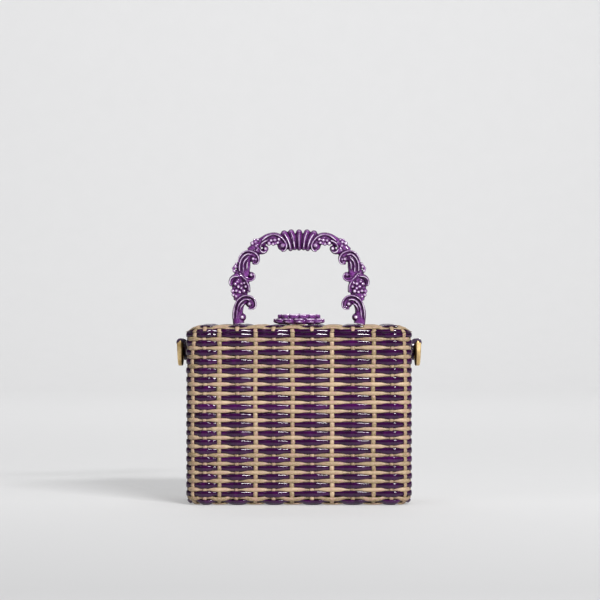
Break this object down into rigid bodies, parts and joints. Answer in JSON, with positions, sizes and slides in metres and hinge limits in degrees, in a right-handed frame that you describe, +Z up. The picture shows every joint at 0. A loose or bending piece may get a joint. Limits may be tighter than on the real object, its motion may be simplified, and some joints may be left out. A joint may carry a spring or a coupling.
{
  "type": "basket box bag",
  "caption": "Rigid woven box handbag with a hinged woven lid, a cast scroll top handle, a lobed ornament on the lid and a metal ring hung from a leather tab on each side.",
  "frame": {"origin": "centre of the base, on the surface that the bag stands on", "axes": "+X to the bag's right as seen from the front, +Y towards the hinged back, +Z up"},
  "size_m": [0.2082, 0.0944, 0.2318],
  "materials": {
    "woven_wicker": "alternating gloss-lacquered dark purple strands and natural tan strands",
    "frame_wood": "plain sanded wood",
    "board": "plain stiff board",
    "lining": "matt suede-like cloth",
    "cast_resin": "polished marbled purple with pale lilac edges",
    "steel": "plain",
    "brass": "aged satin brass",
    "magnet": "nickel plated",
    "patent_leather": "high-gloss patent"
  },
  "bodies": {
    "body": {"body_basket": "woven_wicker", "mouth_frame": "frame_wood", "base_board": "board", "body_lining": "lining", "hinge_body_screws": "brass", "body_magnets": "magnet", "left_hinge_body_leaf": "brass", "left_hinge_pin": "brass", "left_ring_tab": "patent_leather", "left_tab_rivet": "brass", "right_hinge_body_leaf": "brass", "right_hinge_pin": "brass", "right_ring_tab": "patent_leather", "right_tab_rivet": "brass"},
    "lid": {"lid_basket": "woven_wicker", "lid_board": "board", "lid_lining": "lining", "handle": "cast_resin", "plaque": "cast_resin", "handle_screws": "steel", "plaque_screws": "steel", "hinge_lid_screws": "brass", "lid_magnets": "magnet", "left_hinge_lid_leaf": "brass", "right_hinge_lid_leaf": "brass"},
    "left_ring": {"left_ring": "brass"},
    "right_ring": {"right_ring": "brass"}
  },
  "joints": [
    {"name": "lid_hinge", "type": "hinge", "parent": "body", "child": "lid", "pos_m": [0, 0.0474, 0.14445], "axis": [-1, 0, 0], "range_deg": [0, 105]},
    {"name": "left_ring_swing", "type": "hinge", "parent": "body", "child": "left_ring", "pos_m": [-0.1006, 0, 0.1357], "axis": [0, 1, 0], "range_deg": [0, 120]},
    {"name": "right_ring_swing", "type": "hinge", "parent": "body", "child": "right_ring", "pos_m": [0.1006, 0, 0.1357], "axis": [0, -1, 0], "range_deg": [0, 120]}
  ]
}
